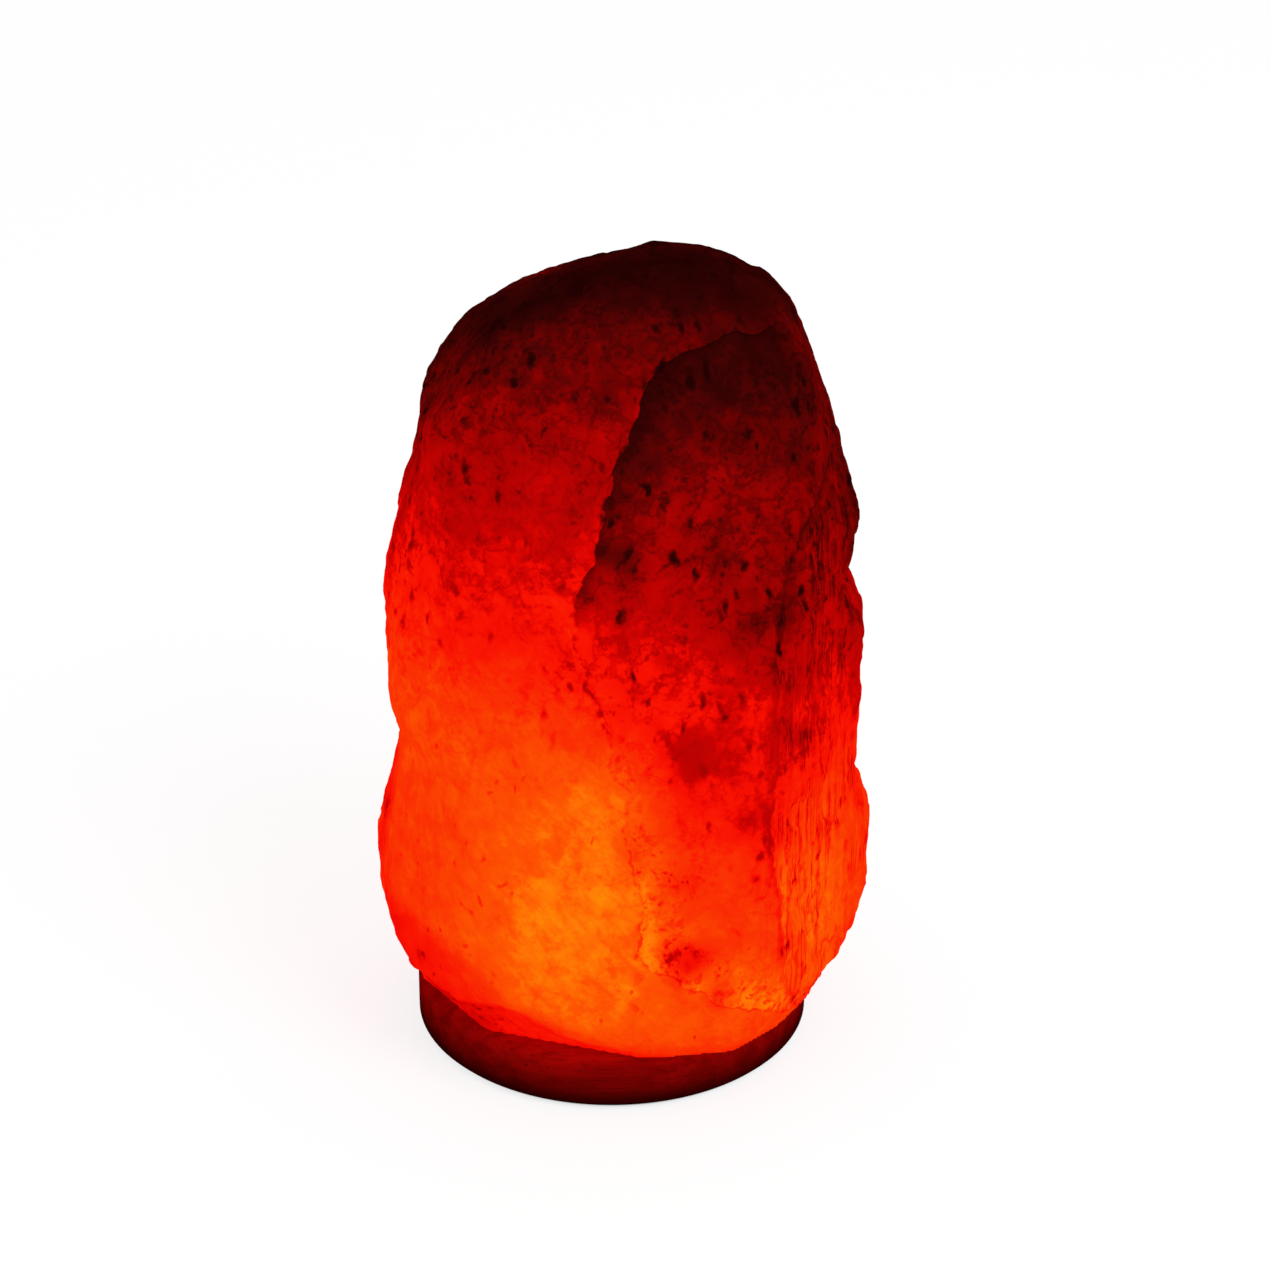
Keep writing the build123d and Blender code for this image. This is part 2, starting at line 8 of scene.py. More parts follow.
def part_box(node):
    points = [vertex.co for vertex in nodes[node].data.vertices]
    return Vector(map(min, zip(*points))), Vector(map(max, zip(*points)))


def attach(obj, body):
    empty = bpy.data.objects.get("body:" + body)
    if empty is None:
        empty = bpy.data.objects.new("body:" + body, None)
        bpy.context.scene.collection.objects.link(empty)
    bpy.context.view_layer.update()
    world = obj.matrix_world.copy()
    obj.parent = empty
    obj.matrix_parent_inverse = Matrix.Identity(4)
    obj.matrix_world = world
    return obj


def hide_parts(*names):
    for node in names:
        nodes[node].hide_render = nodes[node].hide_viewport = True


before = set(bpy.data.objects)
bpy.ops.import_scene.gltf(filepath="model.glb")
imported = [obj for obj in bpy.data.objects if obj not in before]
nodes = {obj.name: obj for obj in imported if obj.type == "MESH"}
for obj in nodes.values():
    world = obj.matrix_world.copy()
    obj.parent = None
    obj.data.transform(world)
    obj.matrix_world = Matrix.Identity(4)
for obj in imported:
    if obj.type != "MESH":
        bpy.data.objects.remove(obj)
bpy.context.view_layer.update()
scene = bpy.context.scene
mm = 0.001

# ---------------------------------------------------------------- materials, floor and light
# The lamp stands on a plain pale floor under a pale sky, with one soft lamp high on the right. The floor
# shows white to the camera and keeps the lamp's shadow. From below it is clear, and light comes through it
# under the lamp, so the foot can be seen.


class Shade:
    """One output of a shader node. Python's arithmetic on it adds the Math nodes."""

    def __init__(self, owner, socket):
        self.owner, self.socket = owner, socket

    def math(self, operation, first, second, clamp=False):
        """A Math node on two values."""
        settings = {"operation": operation, "use_clamp": clamp}
        return self.owner.node("ShaderNodeMath", settings, {0: first, 1: second})

    def __add__(self, other):
        return self.math("ADD", self, other)

    def __radd__(self, other):
        return self.math("ADD", other, self)

    def __sub__(self, other):
        return self.math("SUBTRACT", self, other)

    def __rsub__(self, other):
        return self.math("SUBTRACT", other, self)

    def __mul__(self, other):
        return self.math("MULTIPLY", self, other)

    def __rmul__(self, other):
        return self.math("MULTIPLY", other, self)

    def __truediv__(self, other):
        return self.math("DIVIDE", self, other)

    def __rtruediv__(self, other):
        return self.math("DIVIDE", other, self)

    def __abs__(self):
        return self.math("ABSOLUTE", self, 0)

    def clamp(self):
        """Held between 0 and 1."""
        return self.math("ADD", self, 0, clamp=True)

    def between(self, low, high):
        """0 at low, 1 at high, and a smooth rise between."""
        ends = {"From Min": low, "From Max": high, "Value": self}
        return self.owner.node("ShaderNodeMapRange", {"interpolation_type": "SMOOTHSTEP"}, ends)


class Nodes:
    """A tree of shader nodes that is built up in code."""

    def __init__(self, tree):
        self.tree = tree

    def node(self, kind, settings=None, inputs=None, output=0):
        """Adds a node, with its settings made first and then its sockets filled or linked."""
        made = self.tree.nodes.new(kind)
        for key, value in (settings or {}).items():
            if key == "stops":
                for extra in value[2:]:
                    made.color_ramp.elements.new(extra[0])
                for element, (position, colour) in zip(made.color_ramp.elements, value):
                    element.position, element.color = position, colour
            else:
                setattr(made, key, value)
        for key, value in (inputs or {}).items():
            self.fill(made.inputs[key], value)
        return Shade(self, made.outputs[output])

    def fill(self, socket, value):
        """Gives a socket a value, or links it to another node's output."""
        if isinstance(value, Shade):
            self.tree.links.new(value.socket, socket)
        else:
            socket.default_value = value

    def ray(self, kind):
        """1 where the ray that arrives is of this kind, and 0 elsewhere."""
        return self.node("ShaderNodeLightPath", output=f"Is {kind} Ray")

    def vector(self, operation, first, second=None, output="Vector"):
        """Vector maths on two vectors, or on a vector and a number."""
        inputs = {0: first}
        if second is not None:
            inputs["Scale" if operation == "SCALE" else 1] = second
        return self.node("ShaderNodeVectorMath", {"operation": operation}, inputs, output)


class Finish(Nodes):
    """A material round one Principled shader, in the object's own coordinates."""

    def __init__(self, name, **constants):
        self.material = bpy.data.materials.new(name)
        self.material.use_nodes = True
        super().__init__(self.material.node_tree)
        self.shader = self.tree.nodes["Principled BSDF"]
        self.place = self.node("ShaderNodeTexCoord", output="Object")
        for socket, value in constants.items():
            self.set(socket.replace("_", " "), value)

    def set(self, socket, value):
        """Sets or links one socket of the Principled shader."""
        self.fill(self.shader.inputs[socket], value)

    def height(self):
        """Height above the table, in metres."""
        return self.node("ShaderNodeSeparateXYZ", None, {0: self.place}, output="Z")

    def stretched(self, x, y, z):
        """The object's coordinates, each multiplied by its own factor."""
        return self.vector("MULTIPLY", self.place, (x, y, z))

    def clouds(self, size, detail=4.0, roughness=0.5, place=None, output=0):
        """Soft noise from 0 to 1 whose lumps are about this size, in metres."""
        inputs = {"Vector": place or self.place, "Scale": 1 / size, "Detail": detail}
        inputs["Roughness"] = roughness
        return self.node("ShaderNodeTexNoise", None, inputs, output)

    def cells(self, size, place=None):
        """Distance, in cells, to the middle of the nearest of cells of about this size."""
        inputs = {"Vector": place or self.place, "Scale": 1 / size}
        return self.node("ShaderNodeTexVoronoi", None, inputs)

    def mix(self, amount, first, second):
        """One colour into another."""
        return self.node("ShaderNodeMix", {"data_type": "RGBA"}, {0: amount, 6: first, 7: second}, output=2)

    def relief(self, height, depth):
        """Bumps of this depth, in metres, on the Normal socket."""
        self.set("Normal", self.node("ShaderNodeBump", None, {"Height": height, "Distance": depth}))


floor_half = 3.0
floor_paint = (0.30, 0.30, 0.30, 1)
floor_lift = 0.78           # light added to what the camera and mirrors see of the floor
hidden_floor = 57 * mm      # the lamp hides the floor within about this radius
white = (1, 1, 1, 1)
black = (0, 0, 0, 1)
sky_light = 0.62

floor_finish = Finish("pale_floor", Base_Color=floor_paint, Roughness=0.9, Specular_IOR_Level=0.1)
seen_straight = floor_finish.ray("Camera")
seen = (seen_straight + floor_finish.ray("Glossy") + floor_finish.ray("Transmission")).clamp()
from_middle = floor_finish.vector("LENGTH", floor_finish.place, output="Value")
under_lamp = 1 - from_middle.between(hidden_floor - 1 * mm, hidden_floor + 1 * mm)
lift_paint = floor_finish.mix(under_lamp, white, black)
lift = floor_finish.node("ShaderNodeEmission", None, {"Color": lift_paint, "Strength": seen * floor_lift})
painted = Shade(floor_finish, floor_finish.shader.outputs[0])
lit = floor_finish.node("ShaderNodeAddShader", None, {0: painted, 1: lift})
clear = floor_finish.node("ShaderNodeBsdfTransparent")
from_below = floor_finish.node("ShaderNodeNewGeometry", output="Backfacing")
open_floor = (from_below + under_lamp * (1 - seen_straight)).clamp()
floor_shader = floor_finish.node("ShaderNodeMixShader", None, {0: open_floor, 1: lit, 2: clear})
floor_finish.fill(floor_finish.tree.nodes["Material Output"].inputs["Surface"], floor_shader)

bpy.ops.mesh.primitive_plane_add(size=2 * floor_half, location=(0, 0, 0))
floor = bpy.context.object
floor.name = "floor"
floor.data.materials.append(floor_finish.material)

world = bpy.data.worlds.new("pale_sky")
world.use_nodes = True
scene.world = world
sky = Nodes(world.node_tree)
sky_seen = (sky.ray("Camera") + sky.ray("Transmission")).clamp()
background = sky.tree.nodes["Background"]
sky.fill(background.inputs["Color"], white)
sky.fill(background.inputs["Strength"], sky_light + sky_seen * (1 - sky_light))

soft_lamp = bpy.data.lights.new("soft_lamp", "AREA")
soft_lamp.shape = "DISK"
soft_lamp.size = 0.9
soft_lamp.energy = 7
lamp = bpy.data.objects.new("soft_lamp", soft_lamp)
lamp.location = (0.7, -0.8, 1.2)
lamp_aim = Vector((0, 0, 0.1))
lamp.rotation_euler = (lamp_aim - lamp.location).to_track_quat("-Z", "Y").to_euler()
scene.collection.objects.link(lamp)

# The camera stands in front of the lamp and looks down on it
camera_place = (0.0072, -1.0143, 0.6412)
camera_down = 26.8          # degrees
camera_lens = 108.3         # millimetres
camera_sensor = 36          # millimetres
camera = bpy.data.objects.new("camera", bpy.data.cameras.new("camera"))
camera.location = camera_place
camera.rotation_euler = (radians(90 - camera_down), 0, 0)
camera.data.lens = camera_lens
camera.data.sensor_width = camera_sensor
camera.data.clip_start = 0.01
scene.collection.objects.link(camera)
scene.camera = camera
scene.view_settings.view_transform = "Standard"

# ---------------------------------------------------------------- salt crystal
# A hewn lump of red rock salt, sawn flat below, with a bore drilled up for the bulb. It is translucent: the
# light that comes through is painted on its skin as glow, orange where the salt is thin and near the bulb,
# falling to a deep dark red at the crown, with shade painted into it. Three screws hold it to its base.

bulb_light = Vector((0, 0, 71 * mm))        # the filament's middle
surface_cell = 1.3 * mm                     # how finely the lump's skin is divided
worn_rounds = 9                             # how often the chiselled edges are rubbed down
bore_keep = 27 * mm                         # the drilled bore within this radius stays as it is
bore_top = 129 * mm
groove_width = 2.6 * mm                     # the grooves in the split right side
groove_length = 45 * mm

cad_lump = nodes["salt_crystal"]
lump_low, lump_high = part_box("salt_crystal")
rough_lump = bpy.data.objects.new("rough_lump", cad_lump.data.copy())
scene.collection.objects.link(rough_lump)
weld = rough_lump.modifiers.new("weld", "WELD")
weld.merge_threshold = 0.01 * mm
skin = rough_lump.modifiers.new("skin", "REMESH")
skin.mode = "VOXEL"
skin.voxel_size = surface_cell
finished = rough_lump.evaluated_get(bpy.context.evaluated_depsgraph_get())
salt_mesh = bpy.data.meshes.new_from_object(finished)
salt_mesh.name = "salt_lump"
bpy.data.objects.remove(rough_lump)


def corners(mesh):
    """A mesh's points, as rows of x, y, z."""
    flat = np.empty(len(mesh.vertices) * 3)
    mesh.vertices.foreach_get("co", flat)
    return flat.reshape(-1, 3)


def normals(mesh):
    """A mesh's normals at its points, as rows of x, y, z."""
    flat = np.empty(len(mesh.vertices) * 3)
    mesh.vertices.foreach_get("normal", flat)
    return flat.reshape(-1, 3)


def ease(value, low, high):
    """0 at low, 1 at high, and a smooth rise between."""
    share = np.clip((value - low) / (high - low), 0, 1)
    return share * share * (3 - 2 * share)


def rub(points, mesh, rounds):
    """Each point moved halfway to the middle of its neighbours, over and over."""
    ends = np.empty(len(mesh.edges) * 2, dtype=np.int64)
    mesh.edges.foreach_get("vertices", ends)
    first, second = ends[0::2], ends[1::2]
    count = np.bincount(ends, minlength=len(points))[:, None]
    for _ in range(rounds):
        total = np.stack([np.bincount(first, points[second, axis], len(points))
                          + np.bincount(second, points[first, axis], len(points))
                          for axis in range(3)], axis=1)
        points = (points + total / count) / 2
    return points


def sampled(function, points):
    """A noise function's value at every point."""
    return np.array([function(Vector(point)) for point in points])


def broken(size, lean, step):
    """A fracture pattern: flat faces of this size that lean a little each way, with small steps between."""
    def height(point):
        middle = noise.voronoi(point / size)[1][0]
        slope = noise.cell_vector(middle * 31) - Vector((0.5, 0.5, 0.5))
        return lean * slope.dot(point - middle * size) + step * noise.cell(middle * 57)
    return height


def grooves(point):
    """Long upright grooves, drawn out along the height."""
    drawn_up = Vector((point.x / groove_width, point.y / groove_width, point.z / groove_length))
    return noise.fractal(drawn_up, 0.8, 2.0, 3)


def swells(size, depth):
    """Soft uneven swells, from many sizes of noise."""
    return lambda point: depth * noise.fractal(point / size, 0.9, 2.0, 5)


raw = corners(salt_mesh)
in_bore = (np.hypot(raw[:, 0], raw[:, 1]) < bore_keep) & (raw[:, 2] < bore_top)
open_skin = np.where(in_bore, 0.0, ease(raw[:, 2], lump_low.z + 0.5 * mm, lump_low.z + 3 * mm))

rubbed = rub(raw, salt_mesh, worn_rounds)
skin_points = raw + (rubbed - raw) * open_skin[:, None]
salt_mesh.vertices.foreach_set("co", skin_points.ravel())
salt_mesh.update()
outward = normals(salt_mesh)

# Lines over the front, as rows of height and place across, in millimetres. The first is the step: the mass
# on its left stands proud of the face on its right. The second is the ridge before the split right side.
front_step = np.array([
    (20, 62), (30, 44), (35, 35), (39, 30), (44, 25), (48, 19), (52, 12), (56, 8), (64, 9), (73, 9),
    (82, 7), (95, 4), (108, 6), (114, 2), (124, 0), (133, -3), (144, -7), (155, -10), (167, -9), (178, -5),
    (186, -3), (200, 1), (209, 5), (218, 9), (228, 13), (232, 20), (234, 34), (236, 60),
]) * mm
right_ridge = np.array([
    (20, 56), (35, 53), (55, 50), (70, 49), (88, 46), (115, 47), (157, 48), (173, 51), (183, 56), (205, 70),
]) * mm
# Rows of place across and height: the left foot's ridge over the undercut, the undercut's lower edge, and
# the left shoulder's edge, past which the lump turns away to the back.
left_ridge = np.array([(-75, 54), (-60, 58), (-46, 54), (-35, 43), (-28, 36), (0, 24), (40, 20)]) * mm
foot_edge = np.array([
    (-75, 30), (-57, 31), (-46, 34), (-33, 35), (-24, 32), (-15, 26), (-3, 21), (40, 18),
]) * mm
shoulder_edge = np.array([
    (-70, 190), (-56, 203), (-47, 213), (-38, 223), (-28, 231), (-18, 237), (0, 246),
]) * mm

across, along, height = skin_points.T
wander = sampled(lambda point: noise.fractal(point / (9 * mm), 1.0, 2.0, 4), skin_points) * 2.2 * mm
front = ease(-along, 8 * mm, 24 * mm)
past_step = across - np.interp(height + wander, *front_step.T)
past_ridge = across - np.interp(height, *right_ridge.T)
right_of_step = ease(past_step + wander, -0.8 * mm, 0.8 * mm)
right_side = ease(past_ridge + 0.5 * wander, -1 * mm, 1.5 * mm)

# How far the skin stands out from the worn lump: the step, the ridge, the split side's grooves, flat broken
# faces of two sizes and soft swells of two sizes
step_stands, ridge_stands, groove_depth = 0.7 * mm, 0.9 * mm, 0.5 * mm
stand_out = (0.5 - right_of_step) * np.exp(-np.abs(past_step) / (16 * mm)) * front * step_stands
stand_out += (0.5 - right_side) * np.exp(-np.abs(past_ridge) / (9 * mm)) * front * ridge_stands
stand_out += sampled(grooves, skin_points) * right_side * groove_depth
for size, lean, step in ((32 * mm, 0.05, 0.3 * mm), (8 * mm, 0.14, 0.25 * mm)):
    stand_out += sampled(broken(size, lean, step), skin_points)
for size, depth in ((30 * mm, 0.55 * mm), (5 * mm, 0.32 * mm)):
    stand_out += sampled(swells(size, depth), skin_points)

skin_points = skin_points + outward * (stand_out * open_skin)[:, None]
skin_points = skin_points + (rub(skin_points, salt_mesh, 1) - skin_points) * open_skin[:, None]
hair = 0.05 * mm
for axis in range(3):
    low, high = lump_low[axis], lump_high[axis] - hair
    low += hair if axis < 2 else 0
    skin_points[:, axis] = np.clip(skin_points[:, axis], low, high)
sawn_face = raw[:, 2] < lump_low.z + 0.9 * mm
skin_points[sawn_face, 2] = lump_low.z
salt_mesh.vertices.foreach_set("co", skin_points.ravel())
salt_mesh.polygons.foreach_set("use_smooth", np.ones(len(salt_mesh.polygons), dtype=bool))
salt_mesh.update()

# How much more salt the light is taken to cross than the straight way from the bulb would say, in metres.
# It darkens the painted glow, and part of it is painted shade: anywhere (shade painted from the skin's
# relief, low on the left, painted shade past the left shoulder, and at the crown), on the face between the
# step and the ridge, and on the split right side
# The skin's relief painted into the glow as shade: where the skin stands out, the glow is darker
more_all_over = stand_out * 3.0
more_all_over += ease(-across, 20 * mm, 70 * mm) * (1 - ease(height, 95 * mm, 125 * mm)) * 19 * mm
# Past the left shoulder, painted shade where the lump turns away from the front
past_shoulder = height - np.interp(across, *shoulder_edge.T)
more_all_over += ease(past_shoulder, -4 * mm, 9 * mm) * ease(-across, 0, 18 * mm) * 27 * mm
more_all_over += ease(height, 236 * mm, 248 * mm) * 14 * mm

face_levels = np.array([36, 60, 84, 120, 200, 226, 238]) * mm
face_amounts = np.array([0, 19, 28, 30, 20, 22, 4]) * mm
more_on_face = np.interp(height, face_levels, face_amounts)
more_on_face *= 1 - 0.65 * (1 - ease(past_step, 0, 17 * mm)) * (1 - ease(height, 150 * mm, 168 * mm))
# Just right of the step, high up, a band of painted shadow from the proud mass on its left
more_on_face += np.exp(-np.clip(past_step, 0, 1) / (8 * mm)) * ease(height, 160 * mm, 172 * mm) * 25 * mm
side_levels = np.array([40, 65, 77, 88, 100, 115, 170, 190, 220]) * mm
side_amounts = np.array([5, 10, 14, 20, 25, 34, 33, 27, 20]) * mm
more_on_side = np.interp(height, side_levels, side_amounts)

# Places where the glow is made darker, or lighter where the amount is below 0: each a place and how far it
# reaches, in millimetres, and how much it adds
glow_shift_places = (
    ((43, -48, 158), 15, 24), ((31, -45, 177), 8, 20), ((27, -57, 116), 14, 16), ((23, -57, 120), 6, 10),
    ((23, -62, 53), 7, 38), ((32, -60, 40), 5, 22), ((22, -62, 78), 7, 14), ((42, -54, 97), 7, 16),
    ((57, -42, 116), 7, 14), ((4, -50, 180), 5, 14), ((-2, -47, 178), 5, 10), ((-62, -26, 61), 7, 10),
    ((-12, -56, 147), 12, 15), ((1, -59, 128), 9, 13), ((-2, -39, 221), 5, 14), ((6, -50, 172), 5, 15),
    ((-3, -48, 198), 5, 11), ((48, -40, 179), 7, 11), ((49, -53, 90), 6, 16), ((-11, -50, 190), 5, 9),
    ((6, -61, 91), 5, 10), ((14, -44, 187), 5, -9), ((32, -59, 79), 5, -8), ((23, -62, 62), 4, -9),
)
for place, reach, more in glow_shift_places:
    away = np.linalg.norm(skin_points - np.array(place) * mm, axis=1)
    more_all_over += more * mm * np.exp(-(away / (reach * mm)) ** 2)

measures = {
    "front": front, "past_step": past_step, "past_ridge": past_ridge,
    "under_ridge": np.interp(across, *left_ridge.T) - height,
    "under_edge": np.interp(across, *foot_edge.T) - height,
    "more_all_over": more_all_over, "more_on_face": more_on_face, "more_on_side": more_on_side,
}
for name, values in measures.items():
    layer = salt_mesh.attributes.new(name, "FLOAT", "POINT")
    layer.data.foreach_set("value", values.astype(np.float32))

salt_lump = bpy.data.objects.new("salt_lump", salt_mesh)
scene.collection.objects.link(salt_lump)


def paint(red, green, blue):
    """A colour given as it shows on a screen, 0 to 255, as the shader's linear light."""
    parts = [value / 255 for value in (red, green, blue)]
    linear = [part / 12.92 if part <= 0.04045 else ((part + 0.055) / 1.055) ** 2.4 for part in parts]
    return (*linear, 1)


def thin_lines(clouds, sharpness):
    """1 on thin winding lines, where the clouds are at their middle value, and 0 away from them."""
    return (1 - abs(clouds - 0.5) * sharpness).clamp()


salt = Finish("red_rock_salt", Specular_IOR_Level=0.0, Emission_Strength=1.0)
from_bulb = salt.vector("DISTANCE", salt.place, bulb_light, output="Value")
facing, step_by, ridge_by, foot_ridge_by, foot_edge_by, extra, face_extra, side_extra = (
    salt.node("ShaderNodeAttribute", {"attribute_name": name}, output="Fac") for name in measures)
turned_away = 1 - facing

# Where the pieces of the front meet, each edge is chipped, and a thin line of painted shade runs along it
chips = (salt.clouds(9 * mm, 7.0, 0.62) - 0.5) * (9 * mm)
step_by_chips = step_by + chips
ridge_by_chips = ridge_by + chips * 0.9
past_the_step = step_by_chips.between(-0.2 * mm, 0.5 * mm) * facing
ridge_on_back = turned_away * ridge_by.between(-16 * mm, 26 * mm) * 0.8
on_side = ridge_by_chips.between(-0.8 * mm, 0.8 * mm) * facing + ridge_on_back
on_face = past_the_step * (1 - on_side)
on_left = 1 - past_the_step
# Painted shade in the undercut below the left foot's ridge and on the underside above the base
undercut_shade = (foot_ridge_by + chips).between(-3 * mm, 6 * mm) * facing
underside_shade = (foot_edge_by + chips * 0.4).between(-0.5 * mm, 2 * mm) * facing
# Thin lines of painted shade along the step and the ridge, broken up by noise along the step
step_shade_line = step_by_chips.between(-1.2 * mm, 0) * (1 - step_by_chips.between(0, 0.7 * mm)) * facing
ridge_shade_line = ridge_by_chips.between(-2.0 * mm, 0) * (1 - ridge_by_chips.between(0, 1.2 * mm)) * facing
step_shade_breaks = salt.clouds(5 * mm, 5.0, 0.65).between(0.40, 0.58)

# The salt itself: clouds and curds in it, fine grain, leaning streaks in the left mass, milky salt and long
# cracks on the sides that are turned away, and upright strands in the split side
cloudy = salt.clouds(24 * mm, 4.0, 0.55) - 0.5
curdled = salt.clouds(8 * mm, 5.0, 0.54) - 0.5
grainy = salt.clouds(1.6 * mm, 4.0, 0.7) - 0.5
wrinkles = thin_lines(salt.clouds(11 * mm, 6.0, 0.6), 22)
milky = salt.clouds(62 * mm, 3.0, 0.5).between(0.36, 0.64) * turned_away
cracks = thin_lines(salt.clouds(48 * mm, 7.0, 0.55), 60) * turned_away
leaning = salt.node("ShaderNodeMapping", {"vector_type": "TEXTURE"}, {
    "Vector": salt.place, "Rotation": (0, radians(49), 0), "Scale": (15 * mm, 3 * mm, 3 * mm)})
streaks = (salt.clouds(1.0, 6.0, 0.68, leaning) - 0.5) * on_left
strand_clouds = salt.clouds(1.0, 3.0, 0.55, salt.stretched(400, 400, 11))
strands = strand_clouds - 0.5
by_ridge = on_face * ridge_by.between(-11 * mm, -1 * mm)
splits = thin_lines(strand_clouds, 20) * salt.clouds(16 * mm, 3.0).between(0.44, 0.6) * on_side
long_cracks = thin_lines(salt.clouds(1.0, 6.0, 0.6, salt.stretched(70, 70, 17)), 55)
long_cracks = long_cracks * on_side * (1 - ridge_by.between(8 * mm, 24 * mm) * 0.7)

# Dirt in the salt: flecks, specks, blots and stains, more of them high up and on the face, crumbs beside
# the foot of the step, and a few pits in the left mass
swirl_size = 1 / 110
swirl = salt.vector("SCALE", salt.clouds(swirl_size, 5.0, output="Color"), 9 * mm)
swirled = salt.vector("ADD", salt.place, swirl)
drawn_out = salt.node("ShaderNodeMapping", {"vector_type": "POINT"}, {
    "Vector": swirled, "Rotation": (0, radians(28), 0), "Scale": (1.5, 1.0, 0.75)})
high_up = salt.height().between(95 * mm, 155 * mm)
low_down = 1 - salt.height().between(82 * mm, 112 * mm)
dirty = (high_up * 0.85 + past_the_step * 0.5).clamp() * salt.clouds(34 * mm, 3.0).between(0.28, 0.50)
flecks = 1 - salt.cells(8 * mm, drawn_out).between(0.05, 0.30)
flecks = flecks * salt.clouds(20 * mm, 2.0).between(0.40, 0.56)
specks = 1 - salt.cells(3.4 * mm, swirled).between(0.10, 0.34)
specks = specks * salt.clouds(12 * mm, 3.0).between(0.48, 0.62)
blots = salt.clouds(5 * mm, 6.0, 0.62).between(0.56, 0.68)
stains = salt.clouds(11 * mm, 7.0, 0.66).between(0.56, 0.68)
beside_step = on_face * (1 - step_by.between(9 * mm, 27 * mm)) * low_down
crumbs = 1 - salt.cells(2.2 * mm, swirled).between(0.12, 0.5)
crumbs = crumbs * salt.clouds(7 * mm, 4.0, 0.6).between(0.46, 0.6)
pits = 1 - salt.cells(6 * mm, drawn_out).between(0.06, 0.24)
pits = pits * salt.clouds(30 * mm, 2.0).between(0.50, 0.62) * on_left
dirt = (flecks * (34 * mm) * (0.25 + dirty) + specks * (12 * mm) * (0.4 + dirty)
        + blots * dirty * (17 * mm) + stains * dirty * (15 * mm) - dirty * (9 * mm)
        + beside_step * (crumbs * (30 * mm) + stains * (14 * mm) + blots * (12 * mm) - 5 * mm)
        + pits * (22 * mm))

crossed = (from_bulb + extra + on_face * face_extra + on_side * side_extra + 2.2 * mm
           + undercut_shade * (16 * mm) + underside_shade * (15 * mm)
           + step_shade_line * step_shade_breaks * (22 * mm) + ridge_shade_line * (12 * mm)
           + cloudy * (13 * mm) + curdled * (21 * mm) * (1 + dirty * 0.7) + grainy * (7 * mm)
           + wrinkles * (0.35 + dirty) * (8 * mm) + streaks * (20 * mm)
           + milky * (20 * mm) + cracks * (12 * mm)
           + strands * on_side * (24 * mm) + strands * by_ridge * (34 * mm)
           + splits * (30 * mm) + long_cracks * (26 * mm) + dirt)

# The painted glow's colour after so many millimetres of salt, as it shows on a screen
glow_steps = (
    (50, (255, 160, 14)), (60, (254, 138, 6)), (74, (253, 84, 2)), (89, (250, 52, 2)),
    (104, (249, 24, 2)), (112, (246, 14, 1)), (118, (226, 5, 1)), (124, (198, 2, 1)),
    (142, (165, 1, 1)), (156, (116, 1, 1)), (168, (84, 2, 2)), (182, (52, 2, 2)), (205, (28, 1, 1)),
)
near, far = 50 * mm, 210 * mm
stops = [((distance * mm - near) / (far - near), paint(*colour)) for distance, colour in glow_steps]
glow = salt.node("ShaderNodeValToRGB", {"stops": stops}, {0: (crossed - near) / (far - near)})
salt.set("Emission Color", glow)
# The skin's colour is near black: painted shade, so that the lamp and sky light it hardly at all and the
# painted glow alone shows
dark_shaded_skin, paler_shaded_skin = (0.004, 0.0003, 0.0002, 1), (0.011, 0.0008, 0.0006, 1)
salt.set("Base Color", salt.mix(salt.clouds(12 * mm).between(0.35, 0.7), dark_shaded_skin, paler_shaded_skin))
salt.set("Roughness", 0.55 + grainy * 0.3)
salt.relief(curdled + grainy * 0.6 + strands * on_side, 0.6 * mm)
salt_mesh.materials.clear()
salt_mesh.materials.append(salt.material)
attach(salt_lump, "lamp_body")
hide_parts("salt_crystal")

# ---------------------------------------------------------------- wooden base
# A turned disc of close-grained wood, stained and lacquered a very dark red. The lump stands on it, and its
# glow falls on the top and the round edge.


def dress(finish, *names):
    """Puts a material on CAD nodes, which keep their own shape."""
    for name in names:
        node = nodes[name]
        node.data.materials.clear()
        node.data.materials.append(finish.material)


lacquer = Finish("dark_lacquered_wood", Specular_IOR_Level=0.0)
board_grain = lacquer.clouds(1.0, 5.0, 0.6, lacquer.stretched(18, 240, 240))
pores = lacquer.clouds(1.0, 3.0, 0.7, lacquer.stretched(90, 1500, 1500)).between(0.52, 0.75)
turned_lines = lacquer.clouds(1.0, 2.0, 0.5, lacquer.stretched(4, 4, 1500))
lacquer_wear = lacquer.clouds(14 * mm, 5.0, 0.65)
dark_grain, red_grain = (0.28, 0.0012, 0.0008, 1), (0.44, 0.0024, 0.0014, 1)
pore_colour, worn_colour = (0.080, 0.0008, 0.0006, 1), (0.46, 0.004, 0.002, 1)
foot_shade_colour = (0.025, 0.0004, 0.0003, 1)
stained = lacquer.mix(board_grain.between(0.35, 0.65), dark_grain, red_grain)
stained = lacquer.mix(pores * 0.6, stained, pore_colour)
stained = lacquer.mix(lacquer_wear.between(0.55, 0.8) * 0.5, stained, worn_colour)
# Painted shade: low down, towards the table, the wood is painted almost black
above_foot_shade = lacquer.height().between(1 * mm, 14 * mm)
lacquer.set("Base Color", lacquer.mix(above_foot_shade, foot_shade_colour, stained))
lacquer.set("Roughness", 0.34 + lacquer_wear * 0.25 + pores * 0.1)
lacquer.relief(turned_lines * 0.5 + board_grain * 0.4 - pores * 0.6, 0.12 * mm)
dress(lacquer, "wooden_base")

# ---------------------------------------------------------------- felt ring
# A ring of thin black pressed felt, glued round the base's underside so that the lamp stands without
# scratching the table. It has a gap at the back, in line with the groove in the wood.

